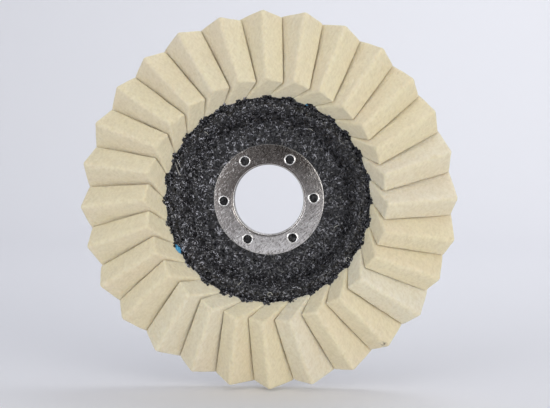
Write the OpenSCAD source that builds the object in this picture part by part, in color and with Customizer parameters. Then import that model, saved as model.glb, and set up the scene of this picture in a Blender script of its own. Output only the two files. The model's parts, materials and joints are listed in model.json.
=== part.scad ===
// Felt polishing wheel for an angle grinder: a pressed glass-cloth backing plate with a steel
// arbor ring, and thick felt flaps glued side by side around its conical face.
// The wheel stands on its rim. The bore runs along Y, the working face looks towards -Y and
// +Z is up. The origin is the centre of the arbor bore. Heights in the sections below are
// measured from the seat plane at the back of the hub, towards the working face.

/* [Flaps] */
// Number of felt flaps around the wheel
flap_count = 28; // [24:1:30]
// Turn of the first flap's foot edge from the top, clockwise seen from the working face, in degrees
first_turn = -12.5; // [-20:0.5:20]
// Radius at the inner end of a flap's foot
foot_in_r = 32.8; // [32:0.2:34]
// Radius at the outer end of a flap's foot
foot_out_r = 56.5; // [54:0.5:57]
// How far the inner end leans outwards from foot to ridge
flare_in = 4.6; // [3:0.2:6]
// How far the outer end leans outwards from foot to ridge
flare_out = 2.4; // [2:0.2:4]
// Height of a ridge above the foot
flap_h = 9.2; // [8:0.2:10]
// Angle of a flap's broad face above the plate at its inner end, in degrees
lean_in = 47; // [46:1:52]
// Angle of a flap's broad face above the plate at its outer end, in degrees
lean_out = 39; // [39:1:46]
// Felt thickness at the inner end, where the flaps are squeezed together
felt_in_t = 6.2; // [5.6:0.1:6.2]
// Felt thickness at the outer end
felt_out_t = 7.8; // [6.8:0.1:7.8]
// How far a flap's inner end falls towards the hub for each millimetre of its width
skew_in = 0.1; // [0:0.01:0.1]
// How far a flap's outer end falls towards the hub for each millimetre of its width
skew_out = 0.12; // [0:0.01:0.12]

/* [Backing plate] */
// Radius of the plate's rim
plate_r = 49; // [46:0.5:50]
// Thickness of each of the three pressed cloth layers
layer_t = 1; // [0.8:0.05:1]
// Radius of the flat hub on the plate
hub_r = 23.4; // [22:0.2:24]
// Radius where the slope around the hub meets the cone
dish_r = 29.4; // [28.5:0.2:30.5]
// Height of the glued face above the seat plane, at the inner end of the flaps
bed_z = 7.6; // [7.6:0.1:8.4]
// Fall of the glued face towards the rim, in degrees
cone_angle = 13.5; // [12:0.5:13.5]

/* [Arbor ring] */
// Diameter of the arbor bore
bore_d = 22.23; // [22.2:0.01:22.3]
// Diameter of the ring's front flange
flange_d = 35.5; // [34:0.5:38]
// Diameter of the lip rolled over at the back
lip_d = 27; // [25:0.5:29]
// Thickness of the ring's sheet steel
steel_t = 0.6; // [0.5:0.05:0.7]
// Number of holes in the front flange
hole_count = 6; // [4:1:8]
// Diameter of those holes
hole_d = 2.8; // [2.4:0.1:3.2]
// Diameter of the pressed rim around each of those holes
hole_rim_d = 3.7; // [3.4:0.1:4]
// Diameter of the circle that those holes lie on
hole_pcd = 28.9; // [28.4:0.1:29.4]
// Turn of the first hole from the +X direction, in degrees
hole_turn = 2; // [-30:1:30]

/* [Adhesive] */
// Thickness of the adhesive under the flaps
bed_t = 0.6; // [0.4:0.1:0.7]
// Radius of the largest bead squeezed out at the inner ends of the flaps
bead_r = 0.9; // [0.6:0.1:1]

/* [Hidden] */
// Width of the slit left between the feet of neighbouring flaps
foot_gap = 0.25;
// How far the adhesive stays back from the inner and outer ends of its bed
bed_inset = 0.9;
// Depth of the pressed rims around the flange's holes
hole_rim_depth = 0.3;
// Radius of the bends that join the ring's collar to its flange and lip, on the bore side
bend_r = steel_t + 0.2;
// Directions of the squeezed-out beads, clockwise from the top, and their sizes against bead_r
beads = [[23, 0.8], [36, 0.5], [241, 1], [255, 0.5]];
// Radius of the circle that the beads lie on
bead_ring_r = foot_in_r - bead_r - 0.1;

pitch = 360 / flap_count;
layer_count = 3;
hub_t = layer_count * layer_t;
bore_r = bore_d / 2;
collar_r = bore_r + steel_t;
front_z = hub_t + steel_t;

felt_colour = [0.87, 0.83, 0.71];
plate_colour = [0.16, 0.16, 0.17];
steel_colour = [0.66, 0.64, 0.62];
adhesive_colour = [0.25, 0.62, 0.78];

function flap_name(k) = str("flap_", k < 10 ? "0" : "", k);

// Height of the glued face at radius r.
function bed_height(r) = bed_z - (r - foot_in_r) * tan(cone_angle);

// Height of the plate's back at radius r: flat hub, smooth slope, then the cone.
function cone_back(r) = bed_height(r) - bed_t - hub_t;
function slope_part(r) = (1 - cos(180 * (r - hub_r) / (dish_r - hub_r))) / 2;
function back_height(r) =
    r <= hub_r ? 0 :
    r >= dish_r ? cone_back(r) :
    cone_back(dish_r) * slope_part(r);

// The plate's section line from the collar to the rim, raised by z.
slope_steps = 10;
function plate_line(z) = [
    for (r = concat([collar_r, hub_r],
                    [for (i = [1 : slope_steps]) hub_r + (dish_r - hub_r) * i / slope_steps],
                    [plate_r]))
        [r, back_height(r) + z]
];

function reversed(list) = [for (i = [len(list) - 1 : -1 : 0]) list[i]];

// Points of an arc about c, from angle a to angle b.
bend_steps = 6;
function arc(c, r, a, b) = [
    for (i = [0 : bend_steps]) c + r * [cos(a + (b - a) * i / bend_steps),
                                        sin(a + (b - a) * i / bend_steps)]
];

// Stands the wheel up: its own z axis, towards the working face, becomes -Y, and the middle
// of the arbor bore comes to the origin.
module stand() {
    rotate([90, 0, 0]) translate([0, 0, -front_z / 2]) children();
}

module revolved() {
    rotate_extrude($fn = 128) children();
}

// One sheet of steel: flange at the front, collar through the plate, lip rolled at the back.
module ring_section() {
    bend_centre_r = bore_r + bend_r;
    polygon(concat(
        arc([bend_centre_r, bend_r], bend_r, 270, 180),
        arc([bend_centre_r, front_z - bend_r], bend_r, 180, 90),
        [[flange_d / 2, front_z], [flange_d / 2, hub_t], [collar_r, hub_t],
         [collar_r, steel_t], [lip_d / 2, steel_t], [lip_d / 2, 0]]
    ));
}

module flange_hole() {
    translate([0, 0, hub_t - steel_t])
        cylinder(h = 3 * steel_t, d = hole_d, $fn = 48);
    translate([0, 0, front_z - hole_rim_depth])
        cylinder(h = 2 * hole_rim_depth, d1 = hole_d, d2 = 2 * hole_rim_d - hole_d, $fn = 48);
}

module hub_ring() {
    color(steel_colour) stand() difference() {
        revolved() ring_section();
        for (k = [0 : hole_count - 1])
            rotate([0, 0, hole_turn + k * 360 / hole_count])
                translate([hole_pcd / 2, 0, 0]) flange_hole();
    }
}

// One pressed cloth layer. Level 0 is the rear one, which also takes the ring's rolled lip.
module backing_layer(level) {
    color(plate_colour) stand() difference() {
        revolved() polygon(concat(
            plate_line(level * layer_t),
            reversed(plate_line((level + 1) * layer_t))
        ));
        if (level == 0)
            translate([0, 0, -layer_t]) cylinder(h = layer_t + steel_t, d = lip_d, $fn = 128);
    }
}

// Everything up to the plate's front face, used to cut the beads where they rest on it.
module below_plate_front() {
    revolved() polygon(concat(
        [[0, -hub_t], [plate_r, -hub_t]],
        reversed(plate_line(hub_t)),
        [[0, hub_t]]
    ));
}

module adhesive_bed() {
    bed_in_r = foot_in_r + bed_inset;
    bed_out_r = plate_r - bed_inset;
    color(adhesive_colour) stand() {
        revolved() polygon([
            [bed_in_r, bed_height(bed_in_r) - bed_t], [bed_out_r, bed_height(bed_out_r) - bed_t],
            [bed_out_r, bed_height(bed_out_r)], [bed_in_r, bed_height(bed_in_r)]
        ]);
        difference() {
            for (bead = beads)
                rotate([0, 0, 90 - bead[0]])
                    translate([bead_ring_r, 0, bed_height(bead_ring_r) - bed_t])
                        sphere(r = bead_r * bead[1], $fn = 32);
            below_plate_front();
        }
    }
}

// The four corners of one end of a flap, in the flap's own frame: x across the wheel in the
// clockwise direction, y outwards, z up from the plate. Foot edge, far foot edge, tip edge,
// ridge. The foot's height clears the cone between the corners.
function flap_end(foot_r, flare, lean, felt_t, skew) =
    let (lift = foot_r * (1 - cos(pitch / 2)) * tan(cone_angle),
         foot_w = min(felt_t / sin(lean), foot_r * tan(pitch) - foot_gap),
         foot = [0, foot_r, bed_height(foot_r) + lift],
         far_r = foot_r - skew * foot_w,
         far_foot = [foot_w, far_r, bed_height(norm([foot_w, far_r])) + lift],
         ridge = foot + [flap_h / tan(lean), flare, flap_h],
         edge = (ridge - foot) / norm(ridge - foot),
         side = [1, -skew, 0],
         across = side - (side * edge) * edge,
         tip = ridge + felt_t * across / norm(across))
    [foot, far_foot, tip, ridge];

// A felt block that leans clockwise over its neighbour, with a slanted inner and outer end.
module felt_flap(k) {
    corners = concat(
        flap_end(foot_in_r, flare_in, lean_in, felt_in_t, skew_in),
        flap_end(foot_out_r, flare_out, lean_out, felt_out_t, skew_out)
    );
    color(felt_colour) stand()
        rotate([0, 0, -(first_turn + (k - 1) * pitch)])
            polyhedron(points = corners, faces = [
                [0, 1, 2, 3], [7, 6, 5, 4],
                [0, 4, 5], [0, 5, 1],
                [1, 5, 6], [1, 6, 2],
                [2, 6, 7], [2, 7, 3],
                [3, 7, 4], [3, 4, 0]
            ]);
}

hub_ring();
backing_layer(0);  // backing_layer_rear
backing_layer(1);  // backing_layer_middle
backing_layer(2);  // backing_layer_front
adhesive_bed();
for (k = [1 : flap_count])
    felt_flap(k);
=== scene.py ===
"""Felt polishing wheel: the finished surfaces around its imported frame.

The wheel stands on its rim. Its bore runs along Y and its working face looks towards -Y.
"""

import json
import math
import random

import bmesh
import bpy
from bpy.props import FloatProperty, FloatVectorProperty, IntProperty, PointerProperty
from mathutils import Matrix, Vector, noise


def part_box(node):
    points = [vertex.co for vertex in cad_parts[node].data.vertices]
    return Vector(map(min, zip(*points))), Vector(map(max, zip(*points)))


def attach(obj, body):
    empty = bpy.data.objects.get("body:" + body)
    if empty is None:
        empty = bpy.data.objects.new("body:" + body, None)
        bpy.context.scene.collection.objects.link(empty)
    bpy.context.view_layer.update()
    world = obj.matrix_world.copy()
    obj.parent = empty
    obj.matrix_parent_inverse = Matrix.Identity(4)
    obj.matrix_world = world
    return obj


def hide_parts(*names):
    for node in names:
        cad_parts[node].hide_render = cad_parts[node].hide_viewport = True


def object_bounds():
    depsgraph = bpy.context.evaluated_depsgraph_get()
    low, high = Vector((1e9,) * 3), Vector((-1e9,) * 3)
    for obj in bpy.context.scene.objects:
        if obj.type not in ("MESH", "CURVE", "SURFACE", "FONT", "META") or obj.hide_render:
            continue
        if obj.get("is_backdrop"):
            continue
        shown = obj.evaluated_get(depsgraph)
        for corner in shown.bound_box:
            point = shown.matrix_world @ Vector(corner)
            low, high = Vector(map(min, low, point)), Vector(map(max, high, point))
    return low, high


bl_info = {
    "name": "Felt Polishing Wheel",
    "version": (1, 0, 0),
    "blender": (4, 5, 0),
    "location": "View3D > Sidebar > Felt Wheel",
    "description": "Builds a felt flap polishing wheel around its design frame",
    "category": "Object",
}

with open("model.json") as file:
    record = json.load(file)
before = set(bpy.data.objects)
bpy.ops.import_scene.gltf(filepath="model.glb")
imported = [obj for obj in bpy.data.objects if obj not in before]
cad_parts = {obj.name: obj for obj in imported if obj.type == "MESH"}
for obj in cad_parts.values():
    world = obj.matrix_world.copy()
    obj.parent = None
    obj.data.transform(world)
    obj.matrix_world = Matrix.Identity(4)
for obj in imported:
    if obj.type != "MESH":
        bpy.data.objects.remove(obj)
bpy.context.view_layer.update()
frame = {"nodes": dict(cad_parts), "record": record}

MM = 0.001
FLAPS = sorted(name for name in frame["nodes"] if name.startswith("flap_"))
MOUNTS = {mount["name"]: mount for mount in frame["record"]["mounts"]}


# ---------------------------------------------------------------- reading the frame


def radius_of(point):
    """Distance from the bore's axis."""
    return math.hypot(point[0], point[2])


def corner_points(node):
    """The distinct vertices of a CAD node."""
    bm = bmesh.new()
    bm.from_mesh(frame["nodes"][node].data)
    bmesh.ops.remove_doubles(bm, verts=bm.verts, dist=0.005 * MM)
    points = [vert.co.copy() for vert in bm.verts]
    bm.free()
    return points


def section_line(node, side):
    """The front or back line of a revolved CAD node's section, as sorted (radius, y) pairs."""
    pick = min if side == "front" else max
    rows = {}
    for point in corner_points(node):
        radius = round(radius_of(point), 5)
        rows[radius] = pick(rows.get(radius, point.y), point.y)
    return sorted(rows.items())


def along_line(line, radius):
    """The y of a section line at a radius."""
    for (r0, y0), (r1, y1) in zip(line, line[1:]):
        if radius <= r1:
            return y0 + (y1 - y0) * max(0.0, radius - r0) / (r1 - r0)
    return line[-1][1]


def clusters(points, reach):
    """The middles of groups of points that lie within reach of each group's first point."""
    groups = []
    for point in points:
        for group in groups:
            if (point - group[0]).length < reach:
                group.append(point)
                break
        else:
            groups.append([point])
    return [sum(group, Vector()) / len(group) for group in groups]


# ---------------------------------------------------------------- making pieces


def finished_piece(bm, name, material):
    """Turns a bmesh into a piece of the object that rides on the wheel."""
    mesh = bpy.data.meshes.new(name)
    bm.to_mesh(mesh)
    bm.free()
    mesh.materials.append(material)
    mesh.shade_smooth()
    piece = bpy.data.objects.new(name, mesh)
    bpy.context.scene.collection.objects.link(piece)
    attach(piece, "root")
    return piece


def spun(profile, steps):
    """A closed section of (radius, y) points turned round the bore's axis."""
    bm = bmesh.new()
    verts = [bm.verts.new((radius, y, 0)) for radius, y in profile]
    edges = [bm.edges.new(pair) for pair in zip(verts, verts[1:] + verts[:1])]
    bmesh.ops.spin(bm, geom=verts + edges, cent=(0, 0, 0), axis=(0, 1, 0), angle=math.tau,
                   steps=steps, use_merge=True)
    bmesh.ops.recalc_face_normals(bm, faces=bm.faces)
    return bm


def spaced(start, end, step):
    """Evenly spaced values from start up to, and not including, end."""
    count = max(1, round(abs(end - start) / step))
    return [start + (end - start) * i / count for i in range(count)]


def rounded_corner(before, corner, after, radius, steps):
    """Points of an arc that rounds the corner of a section."""
    before, corner, after = Vector(before), Vector(corner), Vector(after)
    to_before = (before - corner).normalized()
    to_after = (after - corner).normalized()
    half = to_before.angle(to_after) / 2
    centre = corner + (to_before + to_after).normalized() * radius / math.sin(half)
    start = corner + to_before * radius / math.tan(half) - centre
    end = corner + to_after * radius / math.tan(half) - centre
    return [centre + start.slerp(end, i / steps) * radius for i in range(steps + 1)]


def strands(name, paths, thickness, material):
    """Thin fibres along paths of points, as one piece."""
    curve = bpy.data.curves.new(name, "CURVE")
    curve.dimensions = "3D"
    curve.bevel_depth = thickness / 2
    curve.bevel_resolution = 0
    curve.use_fill_caps = True
    for path in paths:
        spline = curve.splines.new("POLY")
        spline.points.add(len(path) - 1)
        for point, place in zip(spline.points, path):
            point.co = (*place, 1)
        spline.points[-1].radius = 0.35
    holder = bpy.data.objects.new(name, curve)
    bm = bmesh.new()
    bm.from_mesh(holder.to_mesh())
    bpy.data.objects.remove(holder)
    bpy.data.curves.remove(curve)
    return finished_piece(bm, name, material)


# ---------------------------------------------------------------- materials


class Shader:
    """A material's node tree, built a node at a time."""

    def __init__(self, name):
        self.material = bpy.data.materials.new(name)
        self.material.use_nodes = True
        self.tree = self.material.node_tree
        self.surface = self.tree.nodes["Principled BSDF"]
        self.place = self.add("ShaderNodeTexCoord").outputs["Object"]

    def add(self, kind, settings=None, **inputs):
        """Adds a node. An input is a constant or another node's output."""
        node = self.tree.nodes.new(kind)
        for key, value in (settings or {}).items():
            setattr(node, key, value)
        for key, value in inputs.items():
            self.feed(node.inputs[int(key[1:]) if key[1:].isdigit() else key.replace("_", " ")], value)
        return node

    def feed(self, socket, value):
        if isinstance(value, bpy.types.NodeSocket):
            self.tree.links.new(value, socket)
        else:
            socket.default_value = value

    def set(self, **inputs):
        """Sets or links the surface shader's own inputs."""
        for key, value in inputs.items():
            self.feed(self.surface.inputs[key.replace("_", " ")], value)

    def math(self, operation, a, b=0.0, c=0.0):
        node = self.add("ShaderNodeMath", {"operation": operation}, i0=a, i1=b, i2=c)
        return node.outputs[0]

    def noise(self, scale, detail=3.0, stretch=(1, 1, 1), turn=(0, 0, 0), roughness=0.5):
        """Noise with grains of about 1/scale metres, turned and then drawn out on the piece."""
        mapping = self.add("ShaderNodeMapping", {"vector_type": "TEXTURE"}, Vector=self.place, Scale=stretch,
                           Rotation=turn)
        node = self.add("ShaderNodeTexNoise", Vector=mapping.outputs[0], Scale=scale, Detail=detail,
                        Roughness=roughness)
        return node.outputs["Fac"]

    def cells(self, scale, output="Distance", randomness=1.0):
        """Rounded grains about 1/scale metres across."""
        node = self.add("ShaderNodeTexVoronoi", Vector=self.place, Scale=scale, Randomness=randomness)
        return node.outputs[output]

    def remap(self, value, low, high, to_low=0.0, to_high=1.0):
        node = self.add("ShaderNodeMapRange", None, Value=value, From_Min=low, From_Max=high,
                        To_Min=to_low, To_Max=to_high)
        return node.outputs[0]

    def mix(self, share, first, second, blend="MIX"):
        """Mixes two colours."""
        node = self.add("ShaderNodeMix", {"data_type": "RGBA", "blend_type": blend}, i0=share)
        for index, value in ((6, first), (7, second)):
            if not isinstance(value, bpy.types.NodeSocket):
                value = (*value[:3], 1)
            self.feed(node.inputs[index], value)
        return node.outputs[2]

    def bump(self, height, distance, strength=1.0, normal=None):
        node = self.add("ShaderNodeBump", None, Height=height, Distance=distance, Strength=strength)
        if normal is not None:
            self.feed(node.inputs["Normal"], normal)
        return node.outputs[0]


def felt_material(settings):
    """Pressed wool felt: matted fibres, a tone of its own for each flap, a few smudges of dirt."""
    shader = Shader("pressed wool felt")
    tone = shader.add("ShaderNodeAttribute", {"attribute_name": "tone"}).outputs["Fac"]
    cut = shader.add("ShaderNodeAttribute", {"attribute_name": "cut"}).outputs["Fac"]
    fibres = [shader.noise(1500, 3, stretch=(4, 1, 1.4), turn=turn)
              for turn in ((0.4, 0.9, 0.2), (1.3, 2.2, 0.7), (0.2, 0.1, 1.9))]
    matted = shader.math("ADD", shader.math("ADD", fibres[0], fibres[1]), fibres[2])
    clouds = shader.noise(60, 3)
    wool = shader.mix(shader.remap(tone, 0.0, 0.5), settings.white, settings.cream)
    wool = shader.mix(shader.remap(tone, 0.5, 1.0), wool, settings.straw)
    wool = shader.mix(shader.remap(clouds, 0.42, 0.72, 0.0, 0.45), wool, settings.blush)
    wool = shader.mix(shader.math("MULTIPLY", cut, 0.35), wool, settings.cut)
    wool = shader.mix(shader.remap(matted, 1.2, 1.7, 0.34, 0.0), wool, settings.shade)
    soiled = shader.add("ShaderNodeAttribute", {"attribute_name": "soiled"}).outputs["Fac"]
    soiled = shader.math("MULTIPLY", soiled, shader.remap(shader.noise(1400, 2), 0.4, 0.6))
    wool = shader.mix(soiled, wool, settings.dirt)
    felted = shader.bump(matted, 0.22 * MM, 0.8)
    shader.set(Base_Color=wool, Roughness=0.93, Normal=felted)
    shader.set(Specular_IOR_Level=0.25, Sheen_Weight=0.3, Sheen_Roughness=0.5)
    shader.set(Subsurface_Weight=0.4, Subsurface_Scale=1.6 * MM, Subsurface_Radius=(1.0, 0.85, 0.6))
    return shader.material


def plate_material(settings):
    """Resin-bonded fibreglass cloth: dark glossy grains that each catch the light their own way, pale fibre strokes
    that are partly painted glints and fade from -X to +X as painted light, and painted shade in deep places.
    """
    shader = Shader("resin bonded cloth")
    facets = shader.cells(1700, "Color")
    tilt = shader.add("ShaderNodeVectorMath", {"operation": "SUBTRACT"}, i0=facets, i1=(0.5, 0.5, 0.5))
    tilt = shader.add("ShaderNodeVectorMath", {"operation": "SCALE"}, i0=tilt.outputs[0], Scale=settings.glint)
    normal = shader.add("ShaderNodeNewGeometry").outputs["Normal"]
    tilted = shader.add("ShaderNodeVectorMath", {"operation": "ADD"}, i0=normal, i1=tilt.outputs[0])
    tilted = shader.add("ShaderNodeVectorMath", {"operation": "NORMALIZE"}, i0=tilted.outputs[0])
    rough = shader.bump(shader.noise(2400, 3), 0.15 * MM, 0.5, tilted.outputs[0])
    # Pale strokes: partly bare fibreglass, partly painted glints.
    fibres = [shader.noise(2700, 1, stretch=(3.2, 1, 1), turn=(0, turn, 0)) for turn in (0.2, 1.1, 1.9, 2.6)]
    fibre_and_glint_strokes = shader.math("MAXIMUM", shader.math("MAXIMUM", fibres[0], fibres[1]),
                       shader.math("MAXIMUM", fibres[2], fibres[3]))
    clear = shader.remap(shader.noise(500, 2), 0.36, 0.6)
    axes = shader.add("ShaderNodeSeparateXYZ", None, Vector=shader.place)
    # Painted light: the pale strokes fade from -X to +X, so the left side of the plate looks more lit.
    clear = shader.math("MULTIPLY", clear, shader.remap(axes.outputs["X"], -30 * MM, 30 * MM, 1.0, 0.45))
    # Painted shade: the deep places of the cloth and the plate under the ring are darkened to near black.
    deep = shader.add("ShaderNodeAttribute", {"attribute_name": "deep"}).outputs["Fac"]
    resin = shader.mix(shader.math("MULTIPLY", shader.remap(fibre_and_glint_strokes, 0.655, 0.7), clear), settings.resin,
                       settings.glass_and_glint)
    resin = shader.mix(deep, resin, settings.painted_pit_shade)
    shader.set(Base_Color=resin, Normal=rough)
    shader.set(Roughness=shader.remap(shader.noise(900, 2), 0.35, 0.65, 0.13, 0.34))
    shader.set(Specular_IOR_Level=0.4)
    return shader.material


def steel_material(settings):
    """Scuffed sheet steel, darker and browner towards the top and left: partly browned by heat and resin, partly a
    painted reflection of the dark room above. Painted highlights on its edges, painted shade in the groove by the
    bore.
    """
    shader = Shader("scuffed sheet steel")
    scratches = [shader.noise(4600, 1, stretch=(8, 1, 1), turn=(0, turn, 0)) for turn in (-0.6, -0.85, 1.2)]
    scuffed = shader.math("ADD", shader.math("ADD", scratches[0], scratches[1]), scratches[2])
    axes = shader.add("ShaderNodeSeparateXYZ", None, Vector=shader.place)
    # Darker towards the top and left: partly real browning, partly a painted reflection of the dark room above.
    height = shader.math("MULTIPLY_ADD", axes.outputs["X"], -0.35, axes.outputs["Z"])
    reflection_and_stain_level = shader.math("MULTIPLY_ADD", shader.noise(160, 3), 14 * MM, height)
    stain_and_reflection = shader.remap(reflection_and_stain_level, -12 * MM, 15 * MM, 0.0, settings.stain_and_reflection)
    # Painted light on the ring: positive for a painted highlight on the flange's rounded rim, the strip at the
    # bore's edge and the hole lips (these partly bare pressed metal), negative for painted shade in the groove by
    # the bore.
    edge_highlight_and_groove_shade = shader.add("ShaderNodeAttribute", {"attribute_name": "edge_highlight_and_groove_shade"}).outputs["Fac"]
    metal = shader.mix(stain_and_reflection, settings.steel, settings.brown_reflection_and_shade)
    metal = shader.mix(shader.remap(scuffed, 1.25, 1.5, 0.85, 0.0), metal, settings.scratch)
    metal = shader.mix(shader.remap(scuffed, 1.6, 1.85, 0.0, 0.4), metal, settings.bright)
    # Painted highlight where the mask is positive, painted shade where it is negative.
    metal = shader.mix(shader.math("MAXIMUM", edge_highlight_and_groove_shade, 0.0), metal, settings.bright)
    metal = shader.mix(shader.math("MAXIMUM", shader.math("MULTIPLY", edge_highlight_and_groove_shade, -1.0), 0.0), metal, settings.brown_reflection_and_shade)
    shader.set(Base_Color=metal, Roughness=shader.remap(scuffed, 1.1, 1.9, 0.32, 0.18))
    shader.set(Normal=shader.bump(scuffed, 0.06 * MM, 0.7), Metallic=1.0)
    return shader.material


def glue_material(settings):
    """Cured blue adhesive, glossy and a little clouded."""
    shader = Shader("blue adhesive")
    tint = shader.mix(shader.noise(600, 2), settings.colour, settings.deep)
    shader.set(Base_Color=tint, Roughness=0.22, Normal=shader.bump(shader.noise(1200, 2), 0.1 * MM, 0.4))
    shader.set(Specular_IOR_Level=0.5, Subsurface_Weight=0.15, Subsurface_Scale=0.5 * MM)
    return shader.material


def plain_material(name, colour, roughness):
    shader = Shader(name)
    shader.set(Base_Color=(*colour, 1), Roughness=roughness, Specular_IOR_Level=0.3)
    return shader.material


# ---------------------------------------------------------------- settings


def length(name, description, default, low=0.0, high=0.1):
    return FloatProperty(name=name, description=description, default=default, min=low, max=high,
                         unit="LENGTH", precision=5)


def amount(name, description, default, low=0.0, high=1.0):
    return FloatProperty(name=name, description=description, default=default, min=low, max=high)


def colour(name, description, default):
    return FloatVectorProperty(name=name, description=description, default=default, min=0.0, max=1.0,
                               size=3, subtype="COLOR")


class FeltSettings(bpy.types.PropertyGroup):
    """Sizes and colours of the felt flaps."""

    cell: length("Cell", "Spacing of the surface grid", 0.45 * MM)
    ridge_round: length("Ridge rounding", "Rounding of the ridge and the ends beside it", 0.95 * MM)
    crease_round: length("Crease rounding", "Rounding of the edges that press on a neighbour", 0.25 * MM)
    swell: length("Swell", "How far a face crowns in its middle", 0.28 * MM)
    heel: length("Heel", "How far the foot bulges towards the hub", 0.35 * MM)
    toe: length("Toe", "How far the foot's outer corner is splayed", 0.9 * MM)
    ripple: length("Ripple", "Height of the soft unevenness", 0.09 * MM)
    nap: length("Nap", "Height of the finest matting", 0.03 * MM)
    tuck: FloatProperty(name="Tuck", description="How far the inner tips are drawn back", subtype="ANGLE",
                        default=math.radians(0.5))
    press: FloatProperty(name="Press", description="How far a flap is pressed into the next", subtype="ANGLE",
                         default=math.radians(0.3))
    height_spread: length("Height spread", "How much the flaps differ in height", 0.3 * MM)
    reach_spread: length("Reach spread", "How much the flaps differ in length", 0.35 * MM)
    seed: IntProperty(name="Seed", description="Start of the random draws", default=11)
    fuzz_count: IntProperty(name="Fuzz", description="Loose fibres on each flap", default=110, min=0)
    fuzz_length: length("Fuzz length", "Longest loose fibre", 1.7 * MM)
    fuzz_width: length("Fuzz width", "Thickness of a loose fibre", 0.05 * MM)
    cream: colour("Cream", "Most of the felt", (0.80, 0.72, 0.52))
    white: colour("White", "The palest flaps", (0.80, 0.75, 0.61))
    straw: colour("Straw", "The yellowest flaps", (0.80, 0.71, 0.49))
    blush: colour("Blush", "Clouds in the wool", (0.77, 0.65, 0.49))
    cut: colour("Cut edge", "The cut ends of a flap", (0.80, 0.73, 0.50))
    shade: colour("Shade", "Hollows between fibres", (0.58, 0.49, 0.31))
    dirt: colour("Dirt", "Rare specks", (0.12, 0.10, 0.08))


class PlateSettings(bpy.types.PropertyGroup):
    """Sizes and colours of the backing plate."""

    cell: length("Cell", "Spacing of the surface grid", 0.3 * MM)
    grain: length("Grain", "Size of the knots in the cloth", 1.15 * MM)
    relief: length("Relief", "Height of the knots", 0.2 * MM)
    lump: length("Lump", "Size of the resin lumps along the felt", 0.7 * MM)
    lump_count: IntProperty(name="Lumps", description="Columns of resin lumps along the felt", default=210, min=0)
    climb: length("Climb", "How high the resin climbs between the flaps", 1.9 * MM)
    weave: length("Weave", "Spacing of the cloth's threads at the back", 2.6 * MM)
    glint: amount("Glint", "How far single grains tilt", 0.9, high=2.0)
    resin: colour("Resin", "The bonded cloth", (0.008, 0.008, 0.010))
    # Bare fibreglass, also standing in for painted glints.
    glass_and_glint: colour("Glass", "Bare glass fibres", (0.62, 0.62, 0.68))
    # The colour of the painted shade in deep places and under the ring.
    painted_pit_shade: colour("Pit", "Deep places", (0.003, 0.003, 0.004))
    lint: length("Lint", "Thickness of the pale fibres caught on the plate", 0.12 * MM)


class RingSettings(bpy.types.PropertyGroup):
    """Sizes and colours of the arbor ring."""

    cell: length("Cell", "Spacing of the surface grid", 0.14 * MM)
    sheet: length("Sheet", "Thickness of the steel", 0.6 * MM)
    fall: length("Fall", "How far the flange's edge is pressed back", 0.42 * MM)
    edge_round: length("Edge rounding", "Rounding of the flange's rim", 0.18 * MM)
    lip: length("Hole lip", "Height of the burr around each hole", 0.13 * MM)
    groove_at: length("Groove", "Distance of the fine groove from the bore", 0.62 * MM)
    # How strongly the top and left are darkened: browning plus painted reflection.
    stain_and_reflection: amount("Stain", "How strongly the steel is browned", 0.92)
    steel: colour("Steel", "Bare steel", (0.78, 0.75, 0.73))
    # Browned steel, also the painted reflection at the top and the painted shade in the groove by the bore.
    brown_reflection_and_shade: colour("Brown", "Browned steel", (0.08, 0.063, 0.055))
    scratch: colour("Scratch", "Inside the scratches", (0.16, 0.15, 0.14))
    # Bare pressed metal, also the painted highlight on the rims, the bore's edge and the hole lips.
    bright: colour("Bright", "Freshly pressed edges", (0.93, 0.92, 0.90))


class GlueSettings(bpy.types.PropertyGroup):
    """Sizes and colours of the adhesive."""

    spread: amount("Spread", "Width of a bead against its design size", 0.9, high=2.0)
    stand: length("Stand", "How far the beads stand out", 0.3 * MM)
    shift: length("Shift", "How far the beads are drawn under the felt", 1.0 * MM)
    colour: colour("Colour", "The adhesive", (0.08, 0.42, 0.72))
    deep: colour("Deep colour", "Thick adhesive", (0.03, 0.22, 0.42))


class StageSettings(bpy.types.PropertyGroup):
    """The floor, the light and the camera."""

    paper: colour("Paper", "Floor and backdrop", (0.84, 0.84, 0.87))
    card: colour("Card", "The dark card that the steel reflects", (0.045, 0.036, 0.03))
    key: FloatProperty(name="Key light", description="Power of the large light on the right", default=7.5)
    fill: FloatProperty(name="Fill light", description="Power of the light on the left", default=5.0)
    top: FloatProperty(name="Top light", description="Power of the light above", default=0.5)
    wash: FloatProperty(name="Wall light", description="Power of the light on the backdrop", default=3.8)
    sky: amount("Sky", "Brightness of the room", 0.54, high=5.0)
    azimuth: FloatProperty(name="Azimuth", description="The camera's turn to the right", subtype="ANGLE",
                           default=math.radians(5.0))
    elevation: FloatProperty(name="Elevation", description="The camera's height", subtype="ANGLE",
                             default=math.radians(2.4))
    distance: FloatProperty(name="Distance", description="From the camera to the hub", default=0.42,
                            unit="LENGTH")
    lens: FloatProperty(name="Lens", description="Focal length in millimetres", default=85.9)


class WheelSettings(bpy.types.PropertyGroup):
    """All the wheel's settings."""

    felt: PointerProperty(type=FeltSettings)
    plate: PointerProperty(type=PlateSettings)
    ring: PointerProperty(type=RingSettings)
    glue: PointerProperty(type=GlueSettings)
    stage: PointerProperty(type=StageSettings)


# ---------------------------------------------------------------- felt flaps


def flap_corners(node):
    """A flap's corners: for its inner and its outer end, the ridge, tip, foot and far foot."""
    points = sorted(corner_points(node), key=radius_of)
    ends = []
    for end in (points[:4], points[4:]):
        ridge, tip, *feet = sorted(end, key=lambda point: point.y)
        far_foot, foot = sorted(feet, key=lambda point: (point - tip).length)
        ends.append([ridge, tip, foot, far_foot])
    return ends


def turned(point, angle):
    """A point turned round the bore's axis, clockwise seen from the working face."""
    return Matrix.Rotation(angle, 3, "Y") @ point


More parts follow.
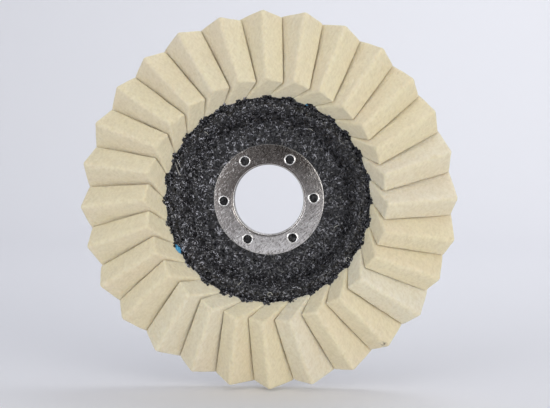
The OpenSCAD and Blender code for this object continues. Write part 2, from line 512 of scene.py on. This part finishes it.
LAY = (0.5, 0.5, 0.3, 0.7, 0.5, -0.7, -0.4, 0.5, 0.3, 0.0, -0.6, 0.2, 0.0, 0.2,
       0.7, 0.3, -0.3, -0.6, 0.8, 0.1, -0.1, -0.6, 0.0, 0.0, 0.1, -0.4, -0.4, 0.1)  # ridge turns, degrees
TONES = (0.5, 0.45, 0.55, 0.6, 0.8, 0.7, 0.15, 0.1, 0.85, 0.9, 0.05, 0.75, 0.6, 0.1,
         0.65, 0.6, 0.15, 0.2, 0.5, 0.55, 0.5, 0.5, 0.45, 0.55, 0.5, 0.45, 0.35, 0.4)  # 0 pale, 1 yellow


SMUDGES = ((37.0, -45.0, 0.8),)  # x and z of the middle, and size, in mm


def laid_corners(index, settings, draw):
    """The corners of a flap as laid by hand, with its tip drawn along by the next flap."""
    turn = math.radians(LAY[index])
    tip_turn = math.radians(LAY[index] + LAY[(index + 1) % len(LAY)]) / 3
    rise = 1 + draw.uniform(-1, 1) * settings.height_spread / (10 * MM)
    reach = draw.uniform(-1, 1) * settings.reach_spread
    ends = []
    for end, (ridge, tip, foot, far_foot) in enumerate(flap_corners(FLAPS[index])):
        outward = Vector((foot.x, 0, foot.z)).normalized()
        lift = (ridge - foot) * (rise - 1) + outward * reach * end
        ridge += lift + outward * (0.25 * MM if end else -0.3 * MM)
        tip += lift - outward * (0.6 * MM if end else 0.2 * MM)
        foot += outward * settings.toe * end
        ends.append([turned(ridge, turn * (1 if end else 0.4)),
                     turned(tip, tip_turn + settings.press - settings.tuck * (1 - end)),
                     foot, turned(far_foot, settings.press)])
    return ends


def flap_grid(settings, size):
    """A block of unit size whose faces are divided into cells, with its edges still sharp."""
    bm = bmesh.new()
    bmesh.ops.create_cube(bm, size=1.0)
    for axis in range(3):
        along = [edge for edge in bm.edges
                 if abs((edge.verts[0].co - edge.verts[1].co)[axis]) > 0.5]
        bmesh.ops.subdivide_edges(bm, edges=along, cuts=round(size[axis] / settings.cell), use_grid_fill=True)
    return bm


def rounded_place(place, size, radius):
    """Moves a point of a block's surface onto the block with rounded edges."""
    core = Vector([max(-s / 2 + radius, min(s / 2 - radius, p)) for p, s in zip(place, size)])
    out = place - core
    return core + out.normalized() * radius if out.length > 0 else place


def felt_block(index, settings, draw):
    """One felt flap: a rounded, slightly crowned block between its laid corners."""
    inner, outer = laid_corners(index, settings, draw)
    ridge, tip, foot, far_foot = range(4)
    size = Vector(((outer[ridge] - inner[ridge]).length, (inner[ridge] - inner[tip]).length,
                   (inner[ridge] - inner[foot]).length))
    bm = flap_grid(settings, size)
    cut = bm.verts.layers.float.new("cut")
    tone = bm.verts.layers.float.new("tone")
    soiled = bm.verts.layers.float.new("soiled")
    offset = Vector((draw.uniform(-1, 1), draw.uniform(-1, 1), draw.uniform(-1, 1)))
    for vert in bm.verts:
        unit = vert.co.copy()
        place = Vector([u * s for u, s in zip(unit, size)])
        by_ridge = eased(unit.z, -0.1, 0.45) * (1 - eased(unit.y, -0.3, 0.5))
        radius = settings.crease_round + (settings.ridge_round - settings.crease_round) * by_ridge
        place = rounded_place(place, size, radius)
        along, across, up = (p / s + 0.5 for p, s in zip(place, size))
        if unit.y < -0.49:
            bulge = max(0.0, math.sin(math.pi * along)) * max(0.0, math.sin(math.pi * (2 * up - 1)))
            across -= settings.swell / size.y * math.sqrt(bulge) * (up > 0.5)
        if unit.z > 0.49:
            bulge = max(0.0, math.sin(math.pi * along)) * max(0.0, math.sin(math.pi * across))
            up += settings.swell / size.z * math.sqrt(bulge)
        if unit.x < -0.49:
            bulge = max(0.0, math.sin(math.pi * across)) * (1 - eased(up, 0.0, 0.8))
            along -= settings.heel / size.x * math.sqrt(bulge)
        ends = [(end[foot] * (1 - up) + end[ridge] * up) * (1 - across)
                + (end[far_foot] * (1 - up) + end[tip] * up) * across for end in (inner, outer)]
        vert.co = ends[0] * (1 - along) + ends[1] * along
        vert[cut] = 1.0 if max(abs(unit.x), unit.z) > 0.49 else 0.0
        vert[tone] = TONES[index]
        vert[soiled] = max(math.exp(-(math.hypot(vert.co.x / MM - x, vert.co.z / MM - z) / size_mm) ** 2)
                           for x, z, size_mm in SMUDGES)
    bmesh.ops.recalc_face_normals(bm, faces=bm.faces)
    bm.normal_update()
    for vert in bm.verts:
        place = (vert.co + offset * 0.1) / MM
        soft = noise.fractal(place / 5, 1.0, 2.0, 2) * settings.ripple
        matted = noise.noise(place * 1.7) * settings.nap
        vert.co += vert.normal * (soft + matted)
    return bm


def fuzz_paths(mesh, settings, draw):
    """Short curling fibres that stand on a flap's visible faces."""
    faces = [face for face in mesh.polygons if face.normal.y < -0.15 or radius_of(face.center) > 55 * MM]
    paths = []
    for face in draw.sample(faces, min(len(faces), settings.fuzz_count)):
        step = settings.fuzz_length * draw.uniform(0.3, 1.0) / 3
        heading = Vector([draw.uniform(-1, 1) for _ in range(3)]).normalized()
        heading = (heading + face.normal * 0.35).normalized()
        place = face.center - face.normal * 0.05 * MM
        path = [place.copy()]
        for _ in range(3):
            bend = Vector([draw.uniform(-1, 1) for _ in range(3)]) * 0.8
            heading = (heading + bend - face.normal * 0.1).normalized()
            place = place + heading * step
            if (place - face.center).dot(face.normal) < 0:
                place -= face.normal * (place - face.center).dot(face.normal)
            path.append(place.copy())
        paths.append(path)
    return paths


class FELTWHEEL_OT_flaps(bpy.types.Operator):
    """Makes the felt flaps and their loose fibres"""

    bl_idname = "felt_wheel.flaps"
    bl_label = "Felt Flaps"
    bl_options = {"REGISTER", "UNDO"}

    def execute(self, context):
        settings = context.scene.felt_wheel.felt
        material = felt_material(settings)
        draw = random.Random(settings.seed)
        for index, node in enumerate(FLAPS):
            bm = felt_block(index, settings, draw)
            piece = finished_piece(bm, node.replace("flap", "felt"), material)
            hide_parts(node)
            paths = fuzz_paths(piece.data, settings, draw)
            strands(node.replace("flap", "fuzz"), paths, settings.fuzz_width, material)
        return {"FINISHED"}


# ---------------------------------------------------------------- backing plate


def knots(place, grain):
    """Height, from 0 to about 1, of rounded knots of a given size, crowded at random."""
    bent = place + noise.noise_vector(place / (2.2 * grain)) * 0.45 * grain
    distances, _ = noise.voronoi(bent / grain)
    return max(0.0, 1 - 1.6 * distances[0] ** 1.5)


def eased(value, low, high):
    """Rises from 0 at low to 1 at high, softly."""
    share = min(1.0, max(0.0, (value - low) / (high - low)))
    return share * share * (3 - 2 * share)


MESH_A = Vector((2.72 * MM, -1.92 * MM, 0))  # the cloth's two mesh steps, in x and z
MESH_B = Vector((2.08 * MM, 3.20 * MM, 0))


def mesh_hole(place):
    """How deep, from 0 to 1, a place lies in the nearest opening of the cloth's mesh."""
    bent = place + noise.noise_vector(place / (2 * MM)) * 0.35 * MM
    area = MESH_A.x * MESH_B.y - MESH_A.y * MESH_B.x
    along_a = (bent.x * MESH_B.y - bent.y * MESH_B.x) / area
    along_b = (bent.y * MESH_A.x - bent.x * MESH_A.y) / area
    away = bent - MESH_A * round(along_a) - MESH_B * round(along_b)
    return math.exp(-(away.length / (0.75 * MM)) ** 2)


def front_relief(point, settings, flange, felt):
    """How far the front cloth stands out at a point, and how deep the point lies in it: the share of painted shade
    for the mesh openings, the hollows between knots and the plate under the ring's flange.
    """
    radius = radius_of(point)
    place = Vector((point.x, point.z, 0.0))
    knot = knots(place, settings.grain)
    small = knots(place, settings.grain * 0.47)
    hole = mesh_hole(place)
    fine = settings.relief * (knot + 0.6 * small - 1.3 * hole)
    shown = eased(radius, flange, flange + 0.6 * MM) * (1 - eased(radius, felt + 1.2 * MM, felt + 1.9 * MM))
    # Painted shade in the mesh openings and the hollows between knots.
    deep = max(0.95 * hole, 0.8 * (1 - eased(knot + 0.6 * small, 0.1, 0.55)))
    # Full painted shade on the plate under the ring's flange.
    return fine * shown, max(deep, 1 - eased(radius, flange - 0.2 * MM, flange + 0.3 * MM))


def back_relief(point, settings):
    """How far the woven cloth stands out at a point of the back."""
    u = point.x / settings.weave * math.pi
    v = point.z / settings.weave * math.pi
    over = math.sin(u) * math.sin(v)
    thread = max(abs(math.sin(u)) ** 0.6 * (0.5 + 0.5 * over), abs(math.sin(v)) ** 0.6 * (0.5 - 0.5 * over))
    place = Vector((point.x, point.z, 0.0))
    return settings.relief * (thread + 0.35 * noise.noise(place / (0.8 * MM)))


class FELTWHEEL_OT_plate(bpy.types.Operator):
    """Makes the woven faces of the backing plate and finishes its middle layer"""

    bl_idname = "felt_wheel.plate"
    bl_label = "Backing Plate"
    bl_options = {"REGISTER", "UNDO"}

    def execute(self, context):
        settings = context.scene.felt_wheel.plate
        material = plate_material(settings)
        self.front_layer(settings, material)
        self.rear_layer(settings, material)
        self.rim_lumps(settings, material)
        middle = frame["nodes"]["backing_layer_middle"]
        middle.data.materials.clear()
        middle.data.materials.append(material)
        return {"FINISHED"}

    def front_layer(self, settings, material):
        front = section_line("backing_layer_front", "front")
        back = section_line("backing_layer_front", "back")
        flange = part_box("hub_ring")[1].x
        felt = min(radius_of(point) for point in corner_points(FLAPS[0]))
        hole, rim = front[0][0], front[-1][0]
        coarse = 6 * settings.cell
        radii = (spaced(hole, flange - 0.5 * MM, coarse)
                 + spaced(flange - 0.5 * MM, felt + 2 * MM, settings.cell)
                 + spaced(felt + 2 * MM, rim, coarse) + [rim])
        outline = [(radius, along_line(front, radius)) for radius in radii]
        outline += [(radius, along_line(back, radius)) for radius in reversed([r for r, _ in back])]
        bm = spun(outline, round(math.tau * felt / settings.cell))
        # The share of painted shade on the front cloth.
        deep = bm.verts.layers.float.new("deep")
        for vert in bm.verts:
            radius = radius_of(vert.co)
            if hole + MM < radius < rim - MM and abs(vert.co.y - along_line(front, radius)) < 0.1 * MM:
                stands_out, vert[deep] = front_relief(vert.co, settings, flange, felt)
                vert.co.y -= stands_out
        piece = finished_piece(bm, "plate_front", material)
        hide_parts("backing_layer_front")

    def rim_lumps(self, settings, material):
        """Lumps of resin that climb the foot of the felt all the way round."""
        front = section_line("backing_layer_front", "front")
        felt = min(radius_of(point) for point in corner_points(FLAPS[0]))
        foot = flap_corners(FLAPS[0])[0][2]
        first = math.atan2(foot.x, foot.z)
        draw = random.Random(3)
        bm = bmesh.new()
        places = []
        for i in range(settings.lump_count):
            angle = (i + draw.uniform(-0.6, 0.6)) * math.tau / settings.lump_count
            crevice = math.cos((angle - first + math.radians(2)) * len(FLAPS) / 2) ** 2
            top = (0.1 + settings.climb / MM * crevice + draw.uniform(-0.2, 0.2)) * MM
            for climb in spaced(-0.2 * MM, max(top, 0.1 * MM), 0.6 * MM):
                radius = felt - 0.1 * MM + 0.5 * climb
                middle = Vector((0, along_line(front, radius) - 0.35 * MM - max(0.0, climb), radius))
                places.append((turned(middle, angle + draw.uniform(-0.01, 0.01)),
                               settings.lump * draw.uniform(0.7, 1.2)))
        for middle, size in places:
            flat = Matrix.Diagonal((draw.uniform(0.8, 1.3), draw.uniform(0.7, 1.0), draw.uniform(0.8, 1.3), 1))
            made = bmesh.ops.create_icosphere(bm, subdivisions=3, radius=size,
                                              matrix=Matrix.Translation(middle) @ flat)
            for vert in made["verts"]:
                vert.co += (vert.co - middle) * 0.55 * noise.noise(vert.co / (0.45 * MM))
        return finished_piece(bm, "plate_rim", material)

    def rear_layer(self, settings, material):
        front = section_line("backing_layer_rear", "front")
        back = section_line("backing_layer_rear", "back")
        lip = max(radius for radius, _ in section_line("hub_ring", "back") if radius < 14 * MM)
        hole, rim = front[0][0], front[-1][0]
        cell = 2 * settings.cell
        outline = [(radius, along_line(back, radius)) for radius in spaced(lip, rim, cell) + [rim]]
        outline += [(radius, along_line(front, radius)) for radius in reversed([r for r, _ in front])]
        outline += [(hole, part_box("hub_ring")[1].y - 0.6 * MM), (lip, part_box("hub_ring")[1].y - 0.6 * MM)]
        bm = spun(outline, round(math.tau * rim / cell))
        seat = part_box("backing_layer_rear")[1].y
        for vert in bm.verts:
            radius = radius_of(vert.co)
            if lip < radius < rim and abs(vert.co.y - along_line(back, radius)) < 0.05 * MM:
                vert.co.y += back_relief(vert.co, settings) - settings.relief
        piece = finished_piece(bm, "plate_rear", material)
        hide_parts("backing_layer_rear")


# ---------------------------------------------------------------- arbor ring


class FELTWHEEL_OT_ring(bpy.types.Operator):
    """Makes the steel arbor ring"""

    bl_idname = "felt_wheel.ring"
    bl_label = "Arbor Ring"
    bl_options = {"REGISTER", "UNDO"}

    def execute(self, context):
        settings = context.scene.felt_wheel.ring
        low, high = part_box("hub_ring")
        bore = MOUNTS["arbor_bore"]["dims"]["r_mm"] * MM
        lip = max(radius for radius, y in section_line("hub_ring", "back") if high.y - y < 0.01 * MM)
        holes = self.holes(low.y + settings.sheet, bore, high.x)
        bm = spun(self.section(settings, low.y, high.y, bore, lip, high.x),
                  round(math.tau * high.x / (1.2 * settings.cell)))
        # Painted light on the ring: positive for painted highlight, negative for painted shade.
        edge_highlight_and_groove_shade = bm.verts.layers.float.new("edge_highlight_and_groove_shade")
        for vert in bm.verts:
            radius = radius_of(vert.co)
            if vert.co.y < low.y + settings.sheet / 2:
                lift, vert[edge_highlight_and_groove_shade] = self.hole_lip(vert.co, holes, settings)
                vert.co.y -= lift
                groove = (radius - bore - settings.groove_at) / (0.14 * MM)
                vert.co.y += 0.16 * MM * math.exp(-groove * groove)
                # Painted shade in the groove beside the bore; painted highlight on the flange's rounded rim and on
                # the strip between the bore's edge and the groove.
                if abs(groove) < 1:
                    vert[edge_highlight_and_groove_shade] = -0.9
                elif radius > high.x - 0.12 * MM or -3 < groove < 0:
                    vert[edge_highlight_and_groove_shade] = 0.7
            if vert.co.y < low.y + settings.sheet * 1.5:
                share = max(0.0, radius - bore) / (high.x - bore)
                vert.co.y += settings.fall * share ** 2
        piece = finished_piece(bm, "arbor_ring", steel_material(settings))
        self.drill(piece, holes, settings)
        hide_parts("hub_ring")
        return {"FINISHED"}

    def holes(self, sheet_back, bore, flange):
        """The middles of the flange's holes, from the edges that they leave on its back."""
        edge = 1.5 * MM
        points = [point for point in corner_points("hub_ring")
                  if abs(point.y - sheet_back) < 0.01 * MM and bore + edge < radius_of(point) < flange - edge / 2]
        return clusters(points, 3.5 * MM)

    def section(self, settings, front, back, bore, lip, flange):
        """The ring's sheet in section: rolled lip, collar, and the flange's close-set front."""
        sheet = settings.sheet
        bend = sheet + 0.2 * MM
        outline = rounded_corner((lip, back), (bore, back), (bore, front), bend, 8)
        outline += rounded_corner((bore, back), (bore, front), (flange, front), bend, 8)
        outline = [tuple(point) for point in outline]
        edge = settings.edge_round
        outline += [(radius, front) for radius in spaced(outline[-1][0], flange - edge, settings.cell)[1:]]
        outline += [tuple(p) for p in rounded_corner((bore, front), (flange, front), (flange, front + sheet),
                                                     edge, 4)]
        outline += [(flange, front + sheet), (bore + sheet, front + sheet), (bore + sheet, back - sheet),
                    (lip, back - sheet)]
        outline += [tuple(p) for p in rounded_corner((lip, back - sheet), (lip, back), (bore, back), edge, 4)]
        return outline

    def hole_lip(self, point, holes, settings):
        """Height of the raised lip around the nearest hole, and its brightness: partly bare pressed metal, partly a
        painted highlight.
        """
        away = min(math.hypot(point.x - hole.x, point.z - hole.z) for hole in holes)
        step = (away - 1.58 * MM) / (0.17 * MM)
        return settings.lip * math.exp(-step * step), 1 - eased(away, 1.6 * MM, 1.78 * MM)

    def drill(self, piece, holes, settings):
        """Cuts the holes through the flange."""
        bm = bmesh.new()
        for hole in holes:
            place = Matrix.Translation(hole) @ Matrix.Rotation(math.pi / 2, 4, "X")
            bmesh.ops.create_cone(bm, cap_ends=True, segments=48, radius1=1.4 * MM, radius2=1.4 * MM,
                                  depth=4 * settings.sheet, matrix=place)
        mesh = bpy.data.meshes.new("drills")
        bm.to_mesh(mesh)
        bm.free()
        drills = bpy.data.objects.new("drills", mesh)
        bpy.context.scene.collection.objects.link(drills)
        cut = piece.modifiers.new("holes", "BOOLEAN")
        cut.object = drills
        cut.solver = "EXACT"
        drilled = bpy.data.meshes.new_from_object(piece.evaluated_get(bpy.context.evaluated_depsgraph_get()))
        piece.modifiers.clear()
        piece.data = drilled
        bpy.data.objects.remove(drills)


# ---------------------------------------------------------------- adhesive


class FELTWHEEL_OT_glue(bpy.types.Operator):
    """Makes the beads of adhesive squeezed out beside the flaps"""

    bl_idname = "felt_wheel.glue"
    bl_label = "Adhesive"
    bl_options = {"REGISTER", "UNDO"}

    def execute(self, context):
        settings = context.scene.felt_wheel.glue
        material = glue_material(settings)
        felt = min(radius_of(point) for point in corner_points(FLAPS[0]))
        points = [point for point in corner_points("adhesive_bed") if radius_of(point) < felt]
        bm = bmesh.new()
        bm.from_mesh(frame["nodes"]["adhesive_bed"].data)
        beads = []
        for middle in clusters(points, 2 * MM):
            near = [vert for vert in bm.verts if (vert.co - middle).length < 2 * MM and radius_of(vert.co) < felt]
            reach = max((vert.co - middle).length for vert in near)
            outward = middle * (settings.shift / radius_of(middle))
            outward.y = -settings.stand
            for vert in near:
                vert.co = middle + outward + (vert.co - middle) * 0.4
            beads.append((middle + outward, settings.spread * reach * (reach / (0.9 * MM)) ** 2))
        for middle, size in beads:
            turn = Matrix.Rotation(math.atan2(middle.x, middle.z), 4, "Y")
            place = Matrix.Translation(middle) @ turn @ Matrix.Diagonal((1.35, 0.9, 0.8, 1))
            made = bmesh.ops.create_icosphere(bm, subdivisions=4, radius=size, matrix=place)
            for vert in made["verts"]:
                vert.co += (vert.co - middle) * 0.3 * noise.noise(vert.co / (0.7 * MM))
        piece = finished_piece(bm, "glue", material)
        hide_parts("adhesive_bed")
        return {"FINISHED"}


# ---------------------------------------------------------------- lint


LINT = (  # start x and z in mm, heading, bend at each step, steps
    (-29.9, 13.3, -1.30, 0.01, 18), (-29.0, 12.9, -1.05, -0.02, 9), (-25.4, 21.8, 0.5, 0.25, 8),
    (-20.1, 21.6, 0.2, -0.3, 6), (25.6, -18.0, 0.2, -0.52, 12), (1.5, -30.2, 1.0, 0.5, 11),
    (14.2, 22.0, 2.2, 0.2, 6), (-9.5, -27.0, 0.4, 0.1, 6), (21.0, -9.0, 1.2, -0.25, 6),
)


class FELTWHEEL_OT_lint(bpy.types.Operator):
    """Makes the pale fibres caught on the plate"""

    bl_idname = "felt_wheel.lint"
    bl_label = "Lint"
    bl_options = {"REGISTER", "UNDO"}

    def execute(self, context):
        settings = context.scene.felt_wheel.plate
        front = section_line("backing_layer_front", "front")
        paths = []
        for x, z, heading, bend, count in LINT:
            x, z = x * MM, z * MM
            path = []
            for _ in range(count):
                path.append(Vector((x, along_line(front, math.hypot(x, z)) - 0.42 * MM, z)))
                heading += bend
                x += 0.35 * MM * math.cos(heading)
                z += 0.35 * MM * math.sin(heading)
            paths.append(path)
        material = plain_material("pale fibre", (0.7, 0.68, 0.6), 0.7)
        strands("plate_lint", paths, settings.lint, material)
        return {"FINISHED"}


# ---------------------------------------------------------------- stage


class FELTWHEEL_OT_stage(bpy.types.Operator):
    """Sets the floor, the backdrop, the light and the camera"""

    bl_idname = "felt_wheel.stage"
    bl_label = "Stage"
    bl_options = {"REGISTER", "UNDO"}

    def execute(self, context):
        settings = context.scene.felt_wheel.stage
        self.sweep(settings)
        self.light("key", settings.key, (0.8, -1.05, 0.2), 0.7, (1.0, 0.985, 0.96))
        self.light("fill", settings.fill, (-0.75, -1.05, 0.15), 0.7, (0.95, 0.965, 1.0))
        self.light("top", settings.top, (0.15, -0.1, 1.1), 0.9, (1.0, 1.0, 1.0))
        self.light("wash", settings.wash, (0.3, 0.25, 0.9), 0.6, (0.95, 0.965, 1.0), (0.6, 1.1, 0.1))
        self.room(settings)
        self.camera(context, settings)
        context.scene.view_settings.view_transform = "Standard"
        return {"FINISHED"}

    def sweep(self, settings):
        """A floor that curves up into a backdrop well behind the wheel."""
        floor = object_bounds()[0].z
        front, back, wide, high, curve = -1.6, 1.1, 6.0, 2.2, 0.5
        bm = bmesh.new()
        outline = [(front, floor)]
        outline += rounded_corner((front, floor), (back, floor), (back, high), curve, 24)
        outline.append((back, high))
        verts = [bm.verts.new((-wide / 2, y, z)) for y, z in outline]
        edges = [bm.edges.new(pair) for pair in zip(verts, verts[1:])]
        side = bmesh.ops.extrude_edge_only(bm, edges=edges)["geom"]
        bmesh.ops.translate(bm, verts=[v for v in side if isinstance(v, bmesh.types.BMVert)], vec=(wide, 0, 0))
        mesh = bpy.data.meshes.new("sweep")
        bm.to_mesh(mesh)
        bm.free()
        mesh.shade_smooth()
        mesh.materials.append(plain_material("pale paper", settings.paper, 0.7))
        sweep = bpy.data.objects.new("sweep", mesh)
        bpy.context.scene.collection.objects.link(sweep)
        sweep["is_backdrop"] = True
        card = bmesh.new()
        bmesh.ops.create_grid(card, x_segments=1, y_segments=1, size=0.5, matrix=(
            Matrix.Translation((0, -1.7, floor + 0.45)) @ Matrix.Rotation(math.pi / 2, 4, "X")
            @ Matrix.Diagonal((1.8, 0.9, 1, 1))))
        mesh = bpy.data.meshes.new("dark_card")
        card.to_mesh(mesh)
        card.free()
        mesh.materials.append(plain_material("dark card", settings.card, 0.9))
        card = bpy.data.objects.new("dark_card", mesh)
        bpy.context.scene.collection.objects.link(card)
        card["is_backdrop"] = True

    def light(self, name, power, place, size, tint, aim=(0, 0, 0)):
        data = bpy.data.lights.new(name, "AREA")
        data.energy, data.size, data.color = power, size, tint
        lamp = bpy.data.objects.new(name, data)
        lamp.location = place
        lamp.rotation_euler = (Vector(aim) - Vector(place)).to_track_quat("-Z", "Y").to_euler()
        bpy.context.scene.collection.objects.link(lamp)

    def room(self, settings):
        world = bpy.data.worlds.new("room")
        bpy.context.scene.world = world
        world.use_nodes = True
        background = world.node_tree.nodes["Background"]
        background.inputs["Color"].default_value = (0.93, 0.95, 1.0, 1)
        background.inputs["Strength"].default_value = settings.sky

    def camera(self, context, settings):
        """Looks at the hub from a little to the right and above."""
        data = bpy.data.cameras.new("camera")
        data.lens, data.sensor_width = settings.lens, 36.0
        camera = bpy.data.objects.new("camera", data)
        context.scene.collection.objects.link(camera)
        context.scene.camera = camera
        a, e = settings.azimuth, settings.elevation
        back = Vector((math.sin(a) * math.cos(e), -math.cos(a) * math.cos(e), math.sin(e)))
        hub = Vector((0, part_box("hub_ring")[0].y, 0))
        camera.location = hub + back * settings.distance
        aim = hub + Vector((2.06, 0, -1.41)) * MM
        camera.rotation_euler = (aim - camera.location).to_track_quat("-Z", "Y").to_euler()


# ---------------------------------------------------------------- panel and registration


OPERATORS = (
    FELTWHEEL_OT_flaps,
    FELTWHEEL_OT_plate,
    FELTWHEEL_OT_ring,
    FELTWHEEL_OT_glue,
    FELTWHEEL_OT_lint,
    FELTWHEEL_OT_stage,
)


class FELTWHEEL_PT_panel(bpy.types.Panel):
    """Lists the wheel's settings and the steps that build it"""

    bl_label = "Felt Wheel"
    bl_idname = "FELTWHEEL_PT_panel"
    bl_space_type = "VIEW_3D"
    bl_region_type = "UI"
    bl_category = "Felt Wheel"

    def draw(self, context):
        for group in (getattr(context.scene.felt_wheel, key) for key in ("felt", "plate", "ring", "glue", "stage")):
            box = self.layout.box()
            for key in group.__annotations__:
                box.prop(group, key)
        for operator in OPERATORS:
            self.layout.operator(operator.bl_idname)


CLASSES = (FeltSettings, PlateSettings, RingSettings, GlueSettings, StageSettings, WheelSettings,
           *OPERATORS, FELTWHEEL_PT_panel)


def register():
    for cls in CLASSES:
        bpy.utils.register_class(cls)
    bpy.types.Scene.felt_wheel = PointerProperty(type=WheelSettings)


def unregister():
    del bpy.types.Scene.felt_wheel
    for cls in reversed(CLASSES):
        bpy.utils.unregister_class(cls)


def main():
    register()
    bpy.ops.felt_wheel.flaps()
    bpy.ops.felt_wheel.plate()
    bpy.ops.felt_wheel.ring()
    bpy.ops.felt_wheel.glue()
    bpy.ops.felt_wheel.lint()
    bpy.ops.felt_wheel.stage()


if __name__ == "__main__":
    main()
